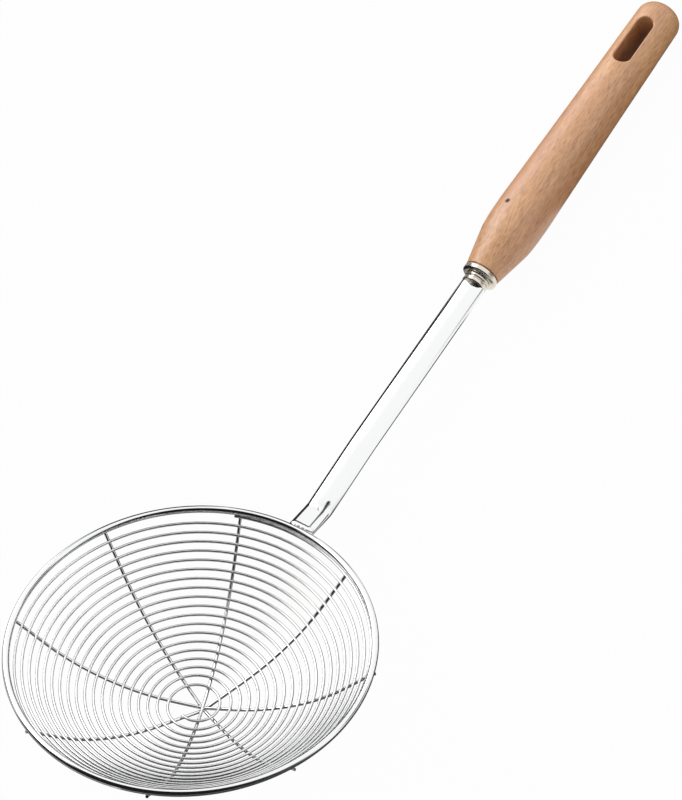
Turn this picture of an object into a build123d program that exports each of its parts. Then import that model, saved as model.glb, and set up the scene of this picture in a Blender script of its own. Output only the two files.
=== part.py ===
"""Spider skimmer with a round wire basket, a flat tube shaft and a turned wooden handle.

Every piece is drawn about the basket: the rim wire's ring lies level about the origin and
the handle points along +Y. The whole is then tipped back until the bowl and the handle
both lie on one level surface, which becomes z = 0.
"""

import os
from math import acos, asin, atan2, ceil, cos, degrees, hypot, pi, radians, sin, sqrt, tan

from build123d import *

# Basket wires
basket_diameter = 150.0
rim_wire = 3.0
spiral_wire = 1.1
cross_wire = 1.3
weld_gap = 0.05

# Bowl
bowl_depth = 39.6
wall_angle = 45.0
tip_angle = 25.0
tip_bend_radius = 4.0
tip_lead = 0.9
tip_overhang = 1.0

# Cross wires
cross_wire_count = 4
first_cross_azimuth = 22.5
crossing_aside = 1.7
crossing_forward = 1.7
crossing_sink = 0.62
crossing_bend_radius = 8.0

# Spiral
spiral_whole_turns = 19
spiral_start_azimuth = 165.0
spiral_end_azimuth = 22.5
spiral_start_reach = 8.9
spiral_tuck = 1.5
spiral_tuck_turns = 2.0
steps_per_turn = 4
gap_samples_per_turn = 48

# Shaft tube
shaft_width = 11.6
shaft_thickness = 5.0
shaft_edge_radius = 2.3
shaft_wall = 0.8
stub_length = 13.6
stub_drop = 1.0
lower_rise = 19.4
lower_length = 33.0
handle_rise = 16.35
stub_bend_radius = 9.0
ease_radius = 160.0
upper_length = 88.6

# Pinched shaft end
pinch_thickness = 2.8
pinch_edge_radius = 1.25
pinch_width = 11.8
pinch_reach = 23.0
pinch_station_shares = (0.0, 0.25, 0.5, 0.64, 0.76, 0.88, 1.0)
bore_close = 5.0
slit_share = 0.3

# Crease of the pinch
crease_reach = 18.5
crease_radius = 1.25
crease_depth = 0.95
crease_end_radius = 0.55
crease_end_depth = 0.35
crease_end_aside = -1.8
crease_aside = -0.8
crease_station_shares = (0.08, 0.3, 0.52, 0.7, 0.85, 1.0)

# Neck collar
neck_front_diameter = 11.2
neck_front_length = 1.9
neck_groove_diameter = 10.0
neck_groove_length = 0.6
neck_back_diameter = 11.4
neck_back_length = 1.5
neck_edge = 0.4

# Ferrule
flange_diameter = 16.0
flange_thickness = 2.9
flange_edge = 0.7
shoulder_diameter = 13.4
shoulder_length = 0.5
spigot_diameter = 9.6
spigot_length = 7.0
seat_clearance = 0.1

# Tang
tang_diameter = 6.0
tang_length = 62.0
tang_tip = 1.0
tang_clearance = 0.08
plug_length = 12.0
plug_clearance = 0.05

# Wooden handle
handle_length = 155.4
handle_diameter = 24.7
handle_bore_spare = 2.0
handle_profile_shares = (
    (0.000, 0.656),
    (0.012, 0.742),
    (0.058, 0.845),
    (0.105, 0.930),
    (0.155, 0.986),
    (0.205, 1.000),
    (0.320, 0.974),
    (0.470, 0.936),
    (0.640, 0.896),
    (0.815, 0.862),
)
handle_end_share = 0.825
handle_end_radius = 7.0
handle_end_dome = 1.2

# Hanging slot
slot_length = 26.5
slot_width = 8.0
slot_from_end = 25.6
slot_edge = 0.7
cut_overrun = 2.0
rest_steps = 60


def rim_radius():
    """Radius of the rim ring's centre line."""
    return (basket_diameter - rim_wire) / 2


def rim_contact():
    """Distance from the rim's centre line to a cross wire's that is welded under it."""
    return (rim_wire + cross_wire) / 2 + weld_gap


def tip_line_point(along):
    """Point of a cross wire's straight tip, measured from where the rim rests on it."""
    tip = radians(tip_angle)
    reach = rim_radius() + rim_contact() * sin(tip)
    height = -rim_contact() * cos(tip)
    return reach + along * cos(tip), height + along * sin(tip)


def bowl_profile(offset=0.0):
    """Arc radius, arc centre height and wall angle of the bowl, moved inwards by offset."""
    wall = radians(wall_angle)
    reach, height = tip_line_point(-tip_lead)
    radius = (tan(wall) * reach - height - bowl_depth) / (1 / cos(wall) - 1)
    return radius - offset, radius - bowl_depth, wall


def bowl_at(reach, offset):
    """Radius and height of the bowl, and its slope, at a reach along it from the centre."""
    radius, centre, wall = bowl_profile(offset)
    turn = min(reach / radius, wall)
    beyond = reach - turn * radius
    out = radius * sin(turn) + beyond * cos(turn)
    up = centre - radius * cos(turn) + beyond * sin(turn)
    return out, up, turn


def upright(azimuth):
    """Upright plane through the wires' crossing; its first direction points at the azimuth."""
    turn = radians(azimuth)
    square = Vector(cos(turn), sin(turn), 0)
    return Plane(
        origin=square * square.dot(wire_crossing()),
        x_dir=(-sin(turn), cos(turn), 0),
        z_dir=square,
    )


def wire_crossing():
    """Place where the cross wires meet, a little off the rim's axis."""
    return Vector(crossing_aside, crossing_forward, 0)


def make_rim_ring():
    return Torus(rim_radius(), rim_wire / 2)


def tangents_meet(first, second):
    """Point where the bowl arc's tangents meet, at two angles from the arc's lowest point."""
    radius, centre, _ = bowl_profile()
    middle = (first + second) / 2
    reach = radius / cos((second - first) / 2)
    return reach * sin(middle), centre - reach * cos(middle)


def cross_wire_path(layer, plane):
    """Centre line of a cross wire: the bowl's arc, or two that dip under the wires above."""
    radius, _, wall = bowl_profile()
    tip_end = (basket_diameter / 2 + tip_overhang - tip_line_point(0)[0]) / cos(radians(tip_angle))
    tip, knee = tip_line_point(tip_end), tip_line_point(-tip_lead)
    touches = [-wall, wall]
    bends = [radius]
    if layer:
        sink = layer * (cross_wire - crossing_sink)
        dip = acos(1 / (1 + sink / (radius - crossing_bend_radius)))
        crossing = asin(wire_crossing().dot(plane.x_dir) / radius)
        touches = [-wall, crossing - dip, crossing + dip, wall]
        bends = [radius, crossing_bend_radius, radius]
    corners = [tangents_meet(*pair) for pair in zip(touches, touches[1:])]
    points = [(-tip[0], tip[1]), (-knee[0], knee[1]), *corners, knee, tip]
    return plane * FilletPolyline(*points, radius=[tip_bend_radius, *bends, tip_bend_radius])


def wire_along(path, diameter):
    """Round wire swept along a path from its first point."""
    section = Plane(origin=path @ 0, z_dir=path % 0) * Circle(diameter / 2)
    return sweep(section, path=path)


def layer_azimuths():
    """Azimuths of the cross wires from the top layer down, each square to the one before."""
    turn = 180 / cross_wire_count
    order = [*range(0, cross_wire_count, 2), *range(1, cross_wire_count, 2)]
    return [first_cross_azimuth + place * turn for place in order]


def make_cross_wires():
    """Cross wires, each pressed at the crossing into the one above it."""
    wires = []
    above = None
    for layer, azimuth in enumerate(layer_azimuths()):
        path = cross_wire_path(layer, upright(azimuth))
        wire = wire_along(path, cross_wire)
        if above:
            wire = wire - wire_along(above, cross_wire + 2 * weld_gap)
        wires.append(wire)
        above = path
    return wires


def spiral_end_reach(offset):
    """Reach along the bowl at which the spiral's wire comes against the rim ring."""
    radius, centre, wall = bowl_profile(offset)
    touch = (rim_wire + spiral_wire) / 2 + weld_gap
    out, up, _ = bowl_at(radius * wall, offset)
    to_out, to_up = rim_radius() - out, -up
    along = to_out * cos(wall) + to_up * sin(wall)
    aside = to_up * cos(wall) - to_out * sin(wall)
    return radius * wall + along - sqrt(touch**2 - aside**2)


def spiral_turns():
    """Turns of the spiral, from its inner end to its outer one."""
    return spiral_whole_turns + (spiral_end_azimuth - spiral_start_azimuth) % 360 / 360


def spiral_point(turns):
    """Point and unit tangent of the spiral's centre line, after so many turns."""
    offset = (cross_wire + spiral_wire) / 2 + weld_gap
    pitch = (spiral_end_reach(offset) - spiral_start_reach) / spiral_turns()
    tucked = max(0, 1 - turns / spiral_tuck_turns)
    reach = spiral_start_reach + pitch * turns - spiral_tuck * tucked**2
    out, up, slope = bowl_at(reach, offset)
    azimuth = radians(spiral_start_azimuth) + 2 * pi * turns
    outward = Vector(-sin(azimuth), cos(azimuth), 0)
    onward = Vector(-cos(azimuth), -sin(azimuth), 0)
    climb = (pitch + 2 * spiral_tuck * tucked / spiral_tuck_turns) / (2 * pi)
    tangent = onward * out + outward * (climb * cos(slope)) + Vector(0, 0, climb * sin(slope))
    return outward * out + Vector(0, 0, up), tangent.normalized()


def biarc(start, start_tangent, end, end_tangent):
    """Two arcs that join two points of a curve and keep its direction at both."""
    chord = end - start
    both = start_tangent + end_tangent
    square = 2 * (start_tangent.dot(end_tangent) - 1)
    middle = -2 * chord.dot(both)
    reach = 2 * chord.dot(chord) / (-middle + sqrt(middle**2 - 4 * square * chord.dot(chord)))
    joint = (start + start_tangent * reach + end - end_tangent * reach) * (1 / 2)
    first = Edge.make_tangent_arc(start, start_tangent, joint)
    second = Edge.make_tangent_arc(joint, first % 1, end)
    return [first, second]


def spiral_path():
    """Centre line of the spiral, with one wire's width of straight at each end."""
    steps = ceil(spiral_turns() * steps_per_turn)
    knots = [spiral_point(spiral_turns() * step / steps) for step in range(steps + 1)]
    first, last = knots[0], knots[-1]
    edges = [Edge.make_line(first[0] - first[1] * spiral_wire, first[0])]
    for here, there in zip(knots, knots[1:]):
        edges += biarc(*here, *there)
    edges.append(Edge.make_line(last[0], last[0] + last[1] * spiral_wire))
    return edges


def least_spiral_gap(edges):
    """Least gap between the spiral's wire and its own next turn, measured on points."""
    arcs = edges[1:-1]
    per_arc = ceil(gap_samples_per_turn / (2 * steps_per_turn))
    points = [arc @ (place / per_arc) for arc in arcs for place in range(per_arc)]
    turn = per_arc * 2 * steps_per_turn
    least = basket_diameter
    for index, point in enumerate(points[turn // 2:], start=turn // 2):
        for other in points[max(0, index - 3 * turn // 2): index - turn // 2]:
            least = min(least, (point - other).length)
    return least - spiral_wire


def make_spiral_wire():
    edges = spiral_path()
    print("least gap of the spiral to itself, mm:", round(least_spiral_gap(edges), 3))
    return wire_along(Wire(edges), spiral_wire)


def flat_oval(width, thickness, edge_radius):
    """Slightly crowned flat oval: two wide arcs that run into two small edge arcs."""
    aside = width / 2 - edge_radius
    crown = (aside**2 + thickness**2 / 4 - edge_radius**2) / (thickness - 2 * edge_radius)
    lean = atan2(aside, crown - thickness / 2)
    out = crown * sin(lean)
    up = crown * cos(lean) - crown + thickness / 2
    top = ThreePointArc((-out, up), (0, thickness / 2), (out, up))
    right = ThreePointArc((out, up), (width / 2, 0), (out, -up))
    bottom = ThreePointArc((out, -up), (0, -thickness / 2), (-out, -up))
    left = ThreePointArc((-out, -up), (-width / 2, 0), (-out, up))
    return make_face([top, right, bottom, left])


def shaft_points():
    """Corners of the shaft's centre line in the side view: rim, bend, easing and neck."""
    start = basket_diameter / 2
    bend = start + stub_length
    low, high = radians(lower_rise), radians(handle_rise)
    ease = (bend + lower_length * cos(low), -stub_drop + lower_length * sin(low))
    neck = (ease[0] + upper_length * cos(high), ease[1] + upper_length * sin(high))
    return (start - rim_wire / 2, -stub_drop), (bend, -stub_drop), ease, neck


def shaft_path():
    return Plane.YZ * FilletPolyline(*shaft_points(), radius=(stub_bend_radius, ease_radius))


def across(path, distance):
    """Plane square to the shaft's centre line; its second direction is the tube's upper face."""
    share = distance / path.length
    return Plane(origin=path @ share, x_dir=(-1, 0, 0), z_dir=path % share)


def part_of(path, start, end):
    """Stretch of a path between two distances along it."""
    return path.trim(start / path.length, end / path.length)


def pinched_section(share):
    """Outer section of the shaft's end, at a share of the way from the rim to the full tube."""
    width = pinch_width + (shaft_width - pinch_width) * share
    thickness = pinch_thickness + (shaft_thickness - pinch_thickness) * share
    edge = pinch_edge_radius + (shaft_edge_radius - pinch_edge_radius) * share
    return flat_oval(width, thickness, edge)


def pinch_blend(station):
    """Share of the full tube's shape at a share of the way along the pinch."""
    return station * station * (3 - 2 * station)


def make_shaft_tube():
    """Flat oval tube, pinched shut and creased where it is welded to the rim ring."""
    path = Wire(shaft_path().edges())
    sections = [
        across(path, station * pinch_reach) * pinched_section(pinch_blend(station))
        for station in pinch_station_shares
    ]
    outer = flat_oval(shaft_width, shaft_thickness, shaft_edge_radius)
    straight = part_of(path, pinch_reach, path.length)
    tube = loft(sections) + sweep(across(path, pinch_reach) * outer, path=straight)
    return tube - shaft_bore(path) - crease(path) - rim_saddle()


def shaft_bore(path):
    """Hollow of the tube, closed to a slit where the pinch begins."""
    width = shaft_width - 2 * shaft_wall
    thickness = shaft_thickness - 2 * shaft_wall
    edge = shaft_edge_radius - shaft_wall
    full = flat_oval(width, thickness, edge)
    slit = flat_oval(width - 2 * shaft_wall, thickness * slit_share, edge * slit_share)
    start = pinch_reach + bore_close
    bore = sweep(across(path, start) * full, path=part_of(path, start, path.length))
    return bore + loft([across(path, pinch_reach) * slit, across(path, start) * full])


def crease(path):
    """Teardrop groove pressed into the top of the pinched end, widest beyond the bend."""
    rings = []
    for station in crease_station_shares:
        along = crease_reach * station
        half = (pinch_thickness + (shaft_thickness - pinch_thickness)
                * pinch_blend(along / pinch_reach)) / 2
        radius = crease_end_radius + (crease_radius - crease_end_radius) * station
        depth = crease_end_depth + (crease_depth - crease_end_depth) * station
        aside = crease_end_aside + (crease_aside - crease_end_aside) * station
        plane = across(path, along)
        centre = plane.from_local_coords((aside, half - depth + radius, 0))
        rings.append(Plane(origin=centre, z_dir=plane.z_dir) * Circle(radius))
        head = Pos(*centre) * Sphere(radius)
    return loft(rings) + head


def rim_saddle():
    """Hollow that the rim ring leaves in the shaft's end."""
    return Torus(rim_radius(), rim_wire / 2 + weld_gap)


def axis_plane(along=0.0):
    """Plane square to the handle's axis, so far beyond the shaft tube's end."""
    path = shaft_path()
    plane = across(path, path.length)
    return plane.offset(along)


def neck_length():
    return neck_front_length + neck_groove_length + neck_back_length


def ferrule_length():
    """Distance from the collar's back to the wood."""
    return flange_thickness + shoulder_length


def bored_disc(diameter, low, high, edge=0.0):
    """Disc between two heights, bored for the tang and with its outer edges rounded."""
    middle = Pos(0, 0, (low + high) / 2)
    disc = Cylinder(diameter / 2, high - low)
    if edge:
        disc = fillet(disc.edges().filter_by(GeomType.CIRCLE), edge)
    bore = Cylinder(tang_diameter / 2 + tang_clearance, high - low)
    return middle * (disc - bore)


def make_neck_collar():
    """Turned collar of two raised rings that hides the tube's open end."""
    groove = neck_front_length
    back = groove + neck_groove_length
    front_ring = bored_disc(neck_front_diameter, 0, groove, neck_edge)
    waist = bored_disc(neck_groove_diameter, groove, back)
    back_ring = bored_disc(neck_back_diameter, back, neck_length(), neck_edge)
    return axis_plane() * (front_ring + waist + back_ring)


def make_ferrule():
    """Flanged cap between the collar and the wood, its spigot seated in the handle."""
    wood = ferrule_length()
    flange = bored_disc(flange_diameter, 0, flange_thickness, flange_edge)
    shoulder = bored_disc(shoulder_diameter, flange_thickness, wood)
    spigot = bored_disc(spigot_diameter, wood, wood + spigot_length)
    return axis_plane(neck_length()) * (flange + shoulder + spigot)


def make_tang_rod():
    """Rod from the shaft tube to the handle, with its front end pressed flat to fill the tube."""
    gap = 2 * plug_clearance
    width = shaft_width - 2 * shaft_wall - gap
    thickness = shaft_thickness - 2 * shaft_wall - gap
    plug = extrude(flat_oval(width, thickness, shaft_edge_radius - shaft_wall - plug_clearance),
                   -plug_length)
    rod = Pos(0, 0, tang_length / 2) * Cylinder(tang_diameter / 2, tang_length)
    tip = rod.edges().filter_by(GeomType.CIRCLE).sort_by(Axis.Z)[-1]
    return axis_plane() * (plug + chamfer(tip, tang_tip))


def handle_radius_at(share):
    """Radius of the wooden handle at a share of its length, between the profile's points."""
    points = list(handle_profile_shares) + [(1, handle_end_share)]
    for (low, here), (high, there) in zip(points, points[1:]):
        if share <= high:
            across_share = here + (there - here) * (share - low) / (high - low)
            return across_share * handle_diameter / 2
    return handle_end_share * handle_diameter / 2


def handle_side(points, corner):
    """Arcs through the handle's profile points, the last one running on to the end's corner."""
    tangents = [Vector(1, 1).normalized()]
    for before, here, after in zip(points, points[1:], points[2:]):
        behind, ahead = here - before, after - here
        mean = behind.normalized() * ahead.length + ahead.normalized() * behind.length
        tangents.append(mean.normalized())
    tangents.append((corner - points[-1]).normalized())
    ends = list(zip(points, tangents))
    return [arc for here, there in zip(ends, ends[1:]) for arc in biarc(*here, *there)]


def make_wood_handle():
    """Turned handle, bored for the ferrule's spigot and the tang."""
    radius = handle_diameter / 2
    points = [
        Vector(share * radius, along * handle_length) for along, share in handle_profile_shares
    ]
    corner = Vector(handle_end_share * radius, handle_length - handle_end_dome)
    crown = (corner.X**2 + handle_end_dome**2) / (2 * handle_end_dome)
    half_lean = asin(corner.X / crown) / 2
    middle = (crown * sin(half_lean), handle_length - crown * (1 - cos(half_lean)))
    outline = make_face([
        Line((0, 0), points[0]),
        *handle_side(points, corner),
        Line(points[-1], corner),
        ThreePointArc(corner, middle, (0, handle_length)),
        Line((0, handle_length), (0, 0)),
    ])
    tip = outline.vertices().sort_by_distance(corner)[0]
    body = revolve(Plane.XZ * fillet(tip, handle_end_radius), axis=Axis.Z)
    seat = spigot_length + seat_clearance
    bore = tang_length - neck_length() - ferrule_length() + handle_bore_spare
    body -= Pos(0, 0, seat / 2) * Cylinder(spigot_diameter / 2 + seat_clearance, seat)
    body -= Pos(0, 0, bore / 2) * Cylinder(tang_diameter / 2 + tang_clearance, bore)
    return axis_plane(neck_length() + ferrule_length()) * body


def bowl_low_point(tilt):
    """Height of the lowest cross wire's underside once the basket is tipped back."""
    radius, centre, _ = bowl_profile()
    lows = []
    for azimuth in layer_azimuths():
        plane = upright(azimuth)
        lean = hypot(cos(tilt), sin(tilt) * plane.x_dir.Y)
        lows.append(centre * cos(tilt) - plane.origin.Y * sin(tilt) - radius * lean)
    return min(lows) - cross_wire / 2


def handle_low_point(tilt):
    """Height of the wooden handle's underside once the basket is tipped back."""
    wood = axis_plane(neck_length() + ferrule_length())
    lows = []
    for step in range(rest_steps):
        share = step / rest_steps
        point = wood.origin + wood.z_dir * (share * handle_length)
        axis_height = point.Z * cos(tilt) - point.Y * sin(tilt)
        lows.append(axis_height - handle_radius_at(share) * cos(radians(handle_rise) - tilt))
    return min(lows)


def resting_tilt():
    """Angle by which the basket tips back until the bowl and the handle rest on one level."""
    low, high = 0.0, pi / 4
    for _ in range(rest_steps):
        middle = (low + high) / 2
        if handle_low_point(middle) > bowl_low_point(middle):
            low = middle
        else:
            high = middle
    return low


def slot_cutter(centre):
    """Upright obround post that opens the hanging slot."""
    length = 2 * handle_diameter
    outline = Rot(0, 0, 90) * SlotOverall(slot_length, slot_width)
    return Pos(centre.X, centre.Y, centre.Z - length / 2) * extrude(outline, length)


def with_slot(handle, centre):
    """Handle with its hanging slot, the slot's edges eased."""
    handle = handle - slot_cutter(centre)
    half = slot_length / 2 + cut_overrun
    mouths = [
        edge for edge in handle.edges()
        if edge.geom_type != GeomType.LINE
        and abs(edge.center().Y - centre.Y) < half
        and abs(edge.center().X) < slot_width / 2 + cut_overrun
        and abs(edge.bounding_box().size.X) < slot_width + cut_overrun
    ]
    return fillet(mouths, slot_edge)


def build():
    """All pieces by name, at rest on the level z = 0 with the part's middle at the origin."""
    pieces = {"rim_ring": make_rim_ring(), "spiral_wire": make_spiral_wire()}
    for layer, wire in enumerate(make_cross_wires(), start=1):
        pieces[f"cross_wire_{layer}"] = wire
    pieces["shaft_tube"] = make_shaft_tube()
    pieces["tang_rod"] = make_tang_rod()
    pieces["neck_collar"] = make_neck_collar()
    pieces["ferrule"] = make_ferrule()
    pieces["wood_handle"] = make_wood_handle()

    tilt = resting_tilt()
    tip_back = Rot(X=-degrees(tilt))
    pieces = {name: tip_back * piece for name, piece in pieces.items()}
    wood = axis_plane(neck_length() + ferrule_length() + handle_length - slot_from_end)
    slot_centre = (tip_back * Pos(*wood.origin)).position
    pieces["wood_handle"] = with_slot(pieces["wood_handle"], slot_centre)

    boxes = [piece.bounding_box() for piece in pieces.values()]
    near, far = min(box.min.Y for box in boxes), max(box.max.Y for box in boxes)
    settle = Pos(0, -(near + far) / 2, -bowl_low_point(tilt))
    print("tilt of the rim, degrees:", round(degrees(tilt), 3))
    print("slot centre, mm:", [round(value, 3) for value in settle.position + slot_centre])
    return {name: settle * piece for name, piece in pieces.items()}


def main():
    os.makedirs("parts", exist_ok=True)
    for name, piece in build().items():
        piece.label = name
        export_step(piece, os.path.join("parts", f"{name}.step"))


if __name__ == "__main__":
    main()
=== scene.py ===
from math import atan2, ceil, cos, hypot, pi, radians, sin, sqrt, tan

import bpy
from bpy.props import FloatProperty, FloatVectorProperty, IntProperty, PointerProperty
from bpy.types import Operator, Panel, PropertyGroup
from mathutils import Euler, Matrix, Vector


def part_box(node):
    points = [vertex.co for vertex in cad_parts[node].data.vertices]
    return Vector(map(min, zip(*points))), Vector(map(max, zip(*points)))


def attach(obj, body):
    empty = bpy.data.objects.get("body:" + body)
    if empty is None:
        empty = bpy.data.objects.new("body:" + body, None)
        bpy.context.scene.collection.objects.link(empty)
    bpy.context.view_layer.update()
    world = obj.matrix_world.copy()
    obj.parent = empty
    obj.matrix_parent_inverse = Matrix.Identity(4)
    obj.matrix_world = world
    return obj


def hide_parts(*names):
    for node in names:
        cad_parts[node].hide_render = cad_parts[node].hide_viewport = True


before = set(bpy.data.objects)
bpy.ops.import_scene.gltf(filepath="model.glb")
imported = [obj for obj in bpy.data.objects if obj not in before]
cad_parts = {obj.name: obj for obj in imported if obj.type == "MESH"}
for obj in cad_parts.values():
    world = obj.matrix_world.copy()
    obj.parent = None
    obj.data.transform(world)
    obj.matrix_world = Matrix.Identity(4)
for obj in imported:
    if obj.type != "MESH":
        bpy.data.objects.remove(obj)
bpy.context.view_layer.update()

bl_info = {
    "name": "Spider Skimmer",
    "version": (1, 0, 0),
    "blender": (4, 5, 0),
    "location": "3D View > Sidebar > Skimmer",
    "description": "Dresses a wire spider skimmer: basket, shaft, ferrule and turned handle",
    "category": "Add Mesh",
}

# Values that no setting changes; lengths are in metres

WELD_GAP = 0.00005

# Cross wires' tips
TIP_ANGLE = radians(25)
TIP_LEAD = 0.0009
TIP_CUT = 0.0012
TIP_START_PAST_RIM = 0.002

# Inner end of the spiral
SPIRAL_TUCK = 0.0015
SPIRAL_TUCK_TURNS = 2

# Centre line of the shaft, from the rim outwards
SHAFT_START = 0.075
SHAFT_UNDER_RIM = 0.0015
STUB_DROP = 0.001
STUB_LENGTH = 0.0136
STUB_BEND_RADIUS = 0.009
LOWER_RISE = radians(19.4)
LOWER_LENGTH = 0.033
EASE_RADIUS = 0.16
UPPER_RISE = radians(16.35)
UPPER_LENGTH = 0.0886

# Sections of the shaft: close together over the pinch, then farther apart
CLOSE_STEP = 0.00025
CLOSE_STEPS = 140
FAR_STEPS = 30

# Crease of the shaft, the dimple beside it, and how strongly their mark dulls them and darkens
# them with painted shade
CREASE_START = 0.004
CREASE_ASIDE = 0.0029
CREASE_TAIL_HALF_WIDTH = 0.0003
CREASE_WIDENING = 0.0007
CREASE_ROUND_END = 0.0016
CREASE_SHADE_AND_DULL = 1.6
DIMPLE_ASIDE = 0.00064
DIMPLE_ALONG = 0.01375
DIMPLE_RADIUS = 0.0009
DIMPLE_DEPTH = 0.00018
DIMPLE_SHADE_AND_DULL = 0.6
PAINTED_SHADE_GREY = (0.1, 0.1, 0.1, 1)
MARK_BLUR = 0.3

# Weld bead
BEAD_ASIDE = 0.0001
BEAD_FORWARD = 0.0764
BEAD_HALF_WIDTH = 0.0054
BEAD_HALF_LENGTH = 0.0015
BEAD_HALF_HEIGHT = 0.0008
BEAD_RIPPLE = 0.03
BEAD_RIPPLE_RATE = 16

# Neck and ferrule, each measured along the axis from its own front
TANG_BORE_RADIUS = 0.0031
TURNED_EDGE = 0.0004
INNER_EDGE = 0.0001
NECK_FRONT_LENGTH = 0.0019
NECK_GROOVE_RADIUS = 0.005
NECK_GROOVE_END = 0.0025
NECK_BACK_RADIUS = 0.0057
NECK_LENGTH = 0.004
FLANGE_FACE_RADIUS = 0.0068
FLANGE_FACE_EDGE = 0.0003
FLANGE_SLOPE_LENGTH = 0.0007
FLANGE_FRONT_EDGE = 0.0005
FLANGE_BACK_EDGE = 0.0006
FLANGE_THICKNESS = 0.0029
SHOULDER_RADIUS = 0.0067
SHOULDER_END = 0.0034
SPIGOT_RADIUS = 0.0048
SPIGOT_END = 0.0104

# Straight taper of the wood behind the ferrule
TAPER_START_RADIUS = 0.00795
TAPER_SLOPE = 0.205

# Height of the finest bumps, on metal and wood alike
BUMP_HEIGHT = 0.0001

# Blur and streaks of the metals; scales are noise cells a metre
STREAK_SCALES = (900, 90, 900)
CLOUD_SCALE = 70
STEEL_STREAKS = 0.03
NICKEL_STREAKS = 0.006
DRAWN_EXTRA_BLUR = 0.11
NICKEL_EXTRA_BLUR = 0.19

# Grain of the wood: noise cells a metre along X, Y and Z, and weights
LINE_SCALES = (420, 26, 420)
BROAD_SCALES = (95, 9, 95)
PORE_SCALES = (1700, 260, 1700)
BLUSH_SCALES = (60, 14, 60)
LINE_WEIGHT = 0.75
PORE_WEIGHT = 1.6
LINE_BLUR = 0.12

# Shade in the hanging slot, whose middle line runs along Y
SLOT_NEAR = 0.1852
SLOT_FAR = 0.2037
SLOT_SHADE_EDGE = 0.0044
SLOT_SHADE_FULL = 0.00405
SLOT_PAINTED_SHADE_BROWN = (0.17, 0.05, 0.02, 1)

# Knot on the left of the handle near its thick end, placed in the basket's frame
KNOT_PLACE = (-0.0043, 0.23827, 0.05678)
KNOT_EDGE = 0.0015
KNOT_FULL = 0.0007
KNOT_BROWN = (0.05, 0.015, 0.004, 1)
KNOT_BLUR = 0.5

# Floor and world
FLOOR_SIZE = 30
FLOOR_DROP = 0.0002
FLOOR_GREY = (0.6, 0.6, 0.6, 1)
WHITE = (1, 1, 1, 1)

# Key light, on the left, its angles in degrees
KEY_AZIMUTH = 170
KEY_ELEVATION = 33
KEY_DISTANCE = 1.9
KEY_SIZE = 1.7

# Camera, its turn in degrees and its sensor in millimetres
CAMERA_PLACE = (0.51663, -0.42775, 1.08615)
CAMERA_TURN = (30.2701, 11.7675, 33.2846)
SENSOR_WIDTH = 36

# Half a card's width, before it is scaled
CARD_HALF = 0.5

# Cards that only reflections see: place, turn in degrees, width, height, grey and fade
CARDS = {
    "unlit_side": ((0.765, -0.6, 0.7), (90, 0, 0), 3.5, 1.44, 0.012, 0.04),
    "unlit_top": ((0.65, -0.74, 1.4), (0, 0, 0), 2.8, 1.72, 0.012, 0.04),
    "right_side": ((0.9, -0.25, 0.4), (90, 0, 90), 0.9, 1.7, 0.03, 0.35),
    "far_right_side": ((0.9, 0.85, 0.2), (90, 0, 90), 0.9, 0.6, 0.03, 0.1),
    "flag": ((-0.16, 0.025, 0.065), (90, 0, 90), 0.15, 0.13, 0.008, 0.02),
    "near_flag": ((-0.06, 0.03, 0.028), (90, -21, 90), 0.132, 0.06, 0.008, 0.02),
    "shaft_floor": ((-0.09, -0.007, 0.0003), (0, 0, 0), 0.14, 0.146, 0.01, 0.02),
    "under_shaft": ((0.0085, -0.01, 0.0005), (0, 0, 0), 0.023, 0.125, 0.06, 0.06),
    "left_side": ((-0.95, -0.3, 0.3), (90, 0, 90), 0.7, 0.6, 0.12, 0.35),
    # Painted shadow: a dark card where the handle shades the floor, seen only in reflections
    "painted_shadow_under_handle": ((0.12, 0.21, 0.0003), (0, 0, 0), 0.34, 0.2, 0.04, 0.05),
    "left_floor": ((-0.5, -0.1, 0.0002), (0, 0, 0), 1.0, 1.0, 0.3, 0.01),
    # Painted shadow: a dark card where the basket shades the floor, seen only in reflections
    "painted_shadow_under_basket": ((0.02, -0.17, 0.0004), (0, 0, 0), 0.26, 0.26, 0.06, 0.1),
    "right_floor": ((0.35, -0.28, 0.0003), (0, 0, 0), 0.6, 0.5, 0.04, 0.05),
    "right_table": ((0.5, -0.33, 0.0002), (0, 0, 0), 1.0, 0.56, 0.15, 0.01),
}


# Settings

def length(name, default, description):
    """Size in metres."""
    return FloatProperty(
        name=name, description=description, default=default, min=0.0, precision=5,
        subtype="DISTANCE", unit="LENGTH",
    )


def colour(name, default, description):
    return FloatVectorProperty(
        name=name, description=description, default=default, min=0.0, max=1.0,
        size=3, subtype="COLOR",
    )


def share(name, default, description):
    return FloatProperty(
        name=name, description=description, default=default, min=0.0, max=1.0,
        subtype="FACTOR",
    )


class SkimmerBasket(PropertyGroup):
    """Sizes of the wire basket."""

    rim_wire: length("Rim wire", 0.003, "Thickness of the rim ring's wire")
    spiral_wire: length("Spiral wire", 0.0011, "Thickness of the spiral's wire")
    cross_wire: length("Cross wire", 0.0013, "Thickness of the crossed wires")
    bowl_depth: length("Bowl depth", 0.0396, "Depth of the bowl below the rim's centre line")
    wall_angle: FloatProperty(
        name="Wall angle", description="Slope of the bowl's wall", default=radians(45),
        subtype="ANGLE", unit="ROTATION",
    )
    start_reach: length("Inner start", 0.0089, "Reach of the spiral's inner end")
    turns: FloatProperty(
        name="Turns", description="Turns of the spiral", default=19 + 217.5 / 360, min=1.0,
    )
    start_azimuth: FloatProperty(
        name="Start azimuth", description="Azimuth of the spiral's inner end",
        default=radians(165), subtype="ANGLE", unit="ROTATION",
    )
    points_per_turn: IntProperty(
        name="Points a turn", description="Points along one turn of the spiral", default=84,
        min=12,
    )


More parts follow.
